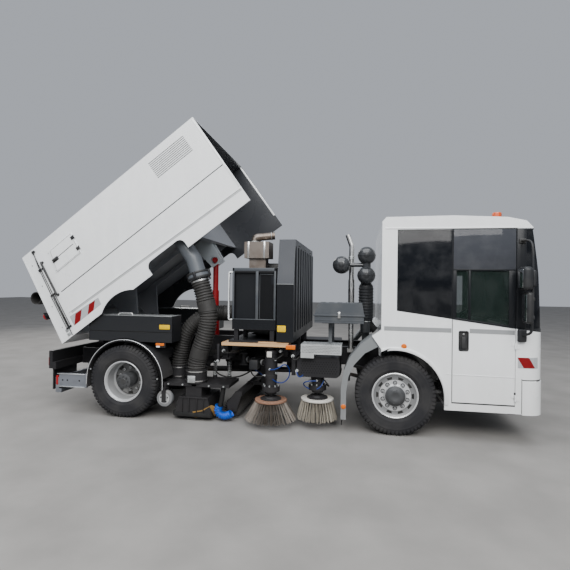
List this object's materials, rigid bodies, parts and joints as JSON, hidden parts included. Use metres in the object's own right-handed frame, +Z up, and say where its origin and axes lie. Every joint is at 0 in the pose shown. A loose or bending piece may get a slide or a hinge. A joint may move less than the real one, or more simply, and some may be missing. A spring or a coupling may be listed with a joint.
{
  "type": "street sweeper truck",
  "caption": "Street sweeper truck with its hopper tipped, forward-control cab, suction hoses, side brushes, roller brush and twin rear wheels.",
  "frame": {"origin": "middle of the truck's box, on the ground", "axes": "+X forward, +Y to the truck's left, +Z up"},
  "size_m": [7.3652, 3.1, 4.3486],
  "materials": {
    "gloss_black_paint": "gloss black paint of the cowl and lockers",
    "white_paint": "gloss white paint of the cab and hopper",
    "grey_paint": "anthracite paint inside the hopper",
    "black_paint": "satin black chassis paint",
    "silver_paint": "silver wheel paint",
    "board": "bare board",
    "galvanised": "bare aluminium and zinc plate",
    "bare_steel": "plain steel",
    "chrome_rod": "chromed lift stages",
    "iron": "cast axles and engine",
    "black_plastic": "textured black plastic",
    "grey_plastic": "grey plastic mudguards",
    "tyre": "tyre rubber",
    "hose": "ribbed rubber hose",
    "cloth": "woven seat cloth",
    "window": "clear cab glass",
    "bristle": "brush bristles",
    "amber": "amber lamp",
    "red": "red lamp"
  },
  "bodies": {
    "truck": {"chassis_frame": "black_paint", "body_subframe": "black_paint", "front_axle": "iron", "rear_axle": "iron", "cab_shell": "white_paint", "cab_glass": "window", "cab_interior": "black_plastic", "cab_seats": "cloth", "front_bumper": "white_paint", "mirrors": "black_plastic", "mudguards": "grey_plastic", "side_lockers": "gloss_black_paint", "engine_cowl": "gloss_black_paint", "radiator_cabinet": "black_paint", "aux_engine": "iron", "engine_silencer": "iron", "blower_hose": "hose", "exhaust_stack": "bare_steel", "intake_domes": "black_plastic", "toolbox": "grey_plastic", "step_box": "galvanised", "side_tanks": "black_paint", "deck_plank": "board", "rear_apron": "black_paint", "underrun_bar": "black_paint", "beacon": "amber", "rear_lamps": "red", "suction_hose": "hose"},
    "steer_right": {"knuckle_right": "iron"},
    "steer_left": {"knuckle_left": "iron"},
    "tie_rod": {"tie_rod": "iron"},
    "wheel_front_right": {"tyre_front_right": "tyre", "rim_front_right": "silver_paint"},
    "wheel_front_left": {"tyre_front_left": "tyre", "rim_front_left": "silver_paint"},
    "wheels_rear_right": {"tyres_rear_right": "tyre", "rims_rear_right": "silver_paint"},
    "wheels_rear_left": {"tyres_rear_left": "tyre", "rims_rear_left": "silver_paint"},
    "door_right": {"door_right": "white_paint", "door_glass_right": "window"},
    "door_left": {"door_left": "white_paint", "door_glass_left": "window"},
    "hopper": {"hopper_skin": "white_paint", "hopper_floor": "grey_paint", "hopper_pipe": "black_paint"},
    "tailgate": {"tailgate": "white_paint", "wander_hose": "hose"},
    "lift_barrel": {"lift_barrel": "black_paint"},
    "lift_stage": {"lift_stage": "chrome_rod"},
    "lift_rod": {"lift_rod": "chrome_rod"},
    "nozzle": {"suction_nozzle": "black_paint"},
    "caster": {"caster_wheel": "tyre"},
    "brush_arm_rear": {"brush_arm_rear": "black_paint"},
    "brush_rear": {"side_brush_rear": "bristle"},
    "brush_arm_front": {"brush_arm_front": "black_paint"},
    "brush_front": {"side_brush_front": "bristle"},
    "roller_frame": {"roller_frame": "black_paint"},
    "roller": {"roller_brush": "bristle"},
    "toolbox_lid": {"toolbox_lid": "grey_plastic"}
  },
  "joints": [
    {"name": "steer_left", "type": "hinge", "parent": "truck", "child": "steer_left", "pos_m": [1.88261, 0.895, 0.528], "axis": [0, 0, 1], "range_deg": [-35, 35]},
    {"name": "steer_right", "type": "hinge", "parent": "truck", "child": "steer_right", "pos_m": [1.88261, -0.895, 0.528], "axis": [0, 0, 1], "range_deg": [-35, 35]},
    {"name": "tie_rod", "type": "hinge", "parent": "steer_left", "child": "tie_rod", "pos_m": [1.68261, 0.895, 0.428], "axis": [0, 0, 1], "range_deg": [-35, 35]},
    {"name": "wheel_front_left", "type": "hinge", "parent": "steer_left", "child": "wheel_front_left", "pos_m": [1.88261, 1.03, 0.528], "axis": [0, 1, 0], "continuous": true},
    {"name": "wheel_front_right", "type": "hinge", "parent": "steer_right", "child": "wheel_front_right", "pos_m": [1.88261, -1.03, 0.528], "axis": [0, 1, 0], "continuous": true},
    {"name": "wheels_rear_left", "type": "hinge", "parent": "truck", "child": "wheels_rear_left", "pos_m": [-2.01739, 0.8875, 0.528], "axis": [0, 1, 0], "continuous": true},
    {"name": "wheels_rear_right", "type": "hinge", "parent": "truck", "child": "wheels_rear_right", "pos_m": [-2.01739, -0.8875, 0.528], "axis": [0, 1, 0], "continuous": true},
    {"name": "door_right", "type": "hinge", "parent": "truck", "child": "door_right", "pos_m": [3.32761, -1.254, 1.25], "axis": [0, 0, 1], "range_deg": [0, 70]},
    {"name": "door_left", "type": "hinge", "parent": "truck", "child": "door_left", "pos_m": [3.32761, 1.254, 1.25], "axis": [0, 0, -1], "range_deg": [0, 70]},
    {"name": "hopper_tip", "type": "hinge", "parent": "truck", "child": "hopper", "pos_m": [-2.33739, 0, 1.4], "axis": [0, -1, 0], "range_deg": [-36, 12], "deforming": ["suction_hose"]},
    {"name": "tailgate", "type": "hinge", "parent": "hopper", "child": "tailgate", "pos_m": [-3.5241, 0, 2.48214], "axis": [0, 1, 0], "range_deg": [0, 75]},
    {"name": "lift_swing", "type": "hinge", "parent": "truck", "child": "lift_barrel", "pos_m": [-1.01739, 0, 0.72], "axis": [0, -1, 0], "range_deg": [-23.54, 8.18]},
    {"name": "lift_stage", "type": "slide", "parent": "lift_barrel", "child": "lift_stage", "axis": [0, 0, 1], "range_m": [-0.45, 0.15]},
    {"name": "lift_rod", "type": "slide", "parent": "lift_stage", "child": "lift_rod", "axis": [0, 0, 1], "range_m": [-0.45, 0.15]},
    {"name": "nozzle_lift", "type": "slide", "parent": "truck", "child": "nozzle", "axis": [0, 0, 1], "range_m": [-0.04, 0.04]},
    {"name": "caster_spin", "type": "hinge", "parent": "nozzle", "child": "caster", "pos_m": [-1.38939, -1.1, 0.3], "axis": [0, 1, 0], "continuous": true},
    {"name": "brush_swing_rear", "type": "hinge", "parent": "truck", "child": "brush_arm_rear", "pos_m": [-0.31739, -0.64, 0.85], "axis": [0, 0, -1], "range_deg": [0, 12]},
    {"name": "brush_spin_rear", "type": "hinge", "parent": "brush_arm_rear", "child": "brush_rear", "pos_m": [0.18261, -1.05, 0.3], "axis": [0, 0, 1], "continuous": true},
    {"name": "brush_slide_front", "type": "slide", "parent": "truck", "child": "brush_arm_front", "axis": [0, -1, 0], "range_m": [0, 0.08]},
    {"name": "brush_spin_front", "type": "hinge", "parent": "brush_arm_front", "child": "brush_front", "pos_m": [0.83261, -0.95, 0.3], "axis": [0, 0, 1], "continuous": true},
    {"name": "roller_lift", "type": "hinge", "parent": "truck", "child": "roller_frame", "pos_m": [-0.07739, 0, 0.4], "axis": [0, 1, 0], "range_deg": [0, 12]},
    {"name": "roller_spin", "type": "hinge", "parent": "roller_frame", "child": "roller", "pos_m": [-0.41739, 0, 0.16], "axis": [0, 1, 0], "continuous": true},
    {"name": "toolbox_lid", "type": "hinge", "parent": "truck", "child": "toolbox_lid", "pos_m": [1.13461, -0.862, 1.568], "axis": [-1, 0, 0], "range_deg": [0, 85]}
  ],
  "couplings": [
    {"joint": "steer_right", "follows": "steer_left", "ratio": 1},
    {"joint": "tie_rod", "follows": "steer_left", "ratio": -1},
    {"joint": "lift_swing", "follows": "hopper_tip", "ratio": 0.64},
    {"joint": "lift_stage", "follows": "hopper_tip", "m_per_rad": 0.695},
    {"joint": "lift_rod", "follows": "hopper_tip", "m_per_rad": 0.695}
  ]
}
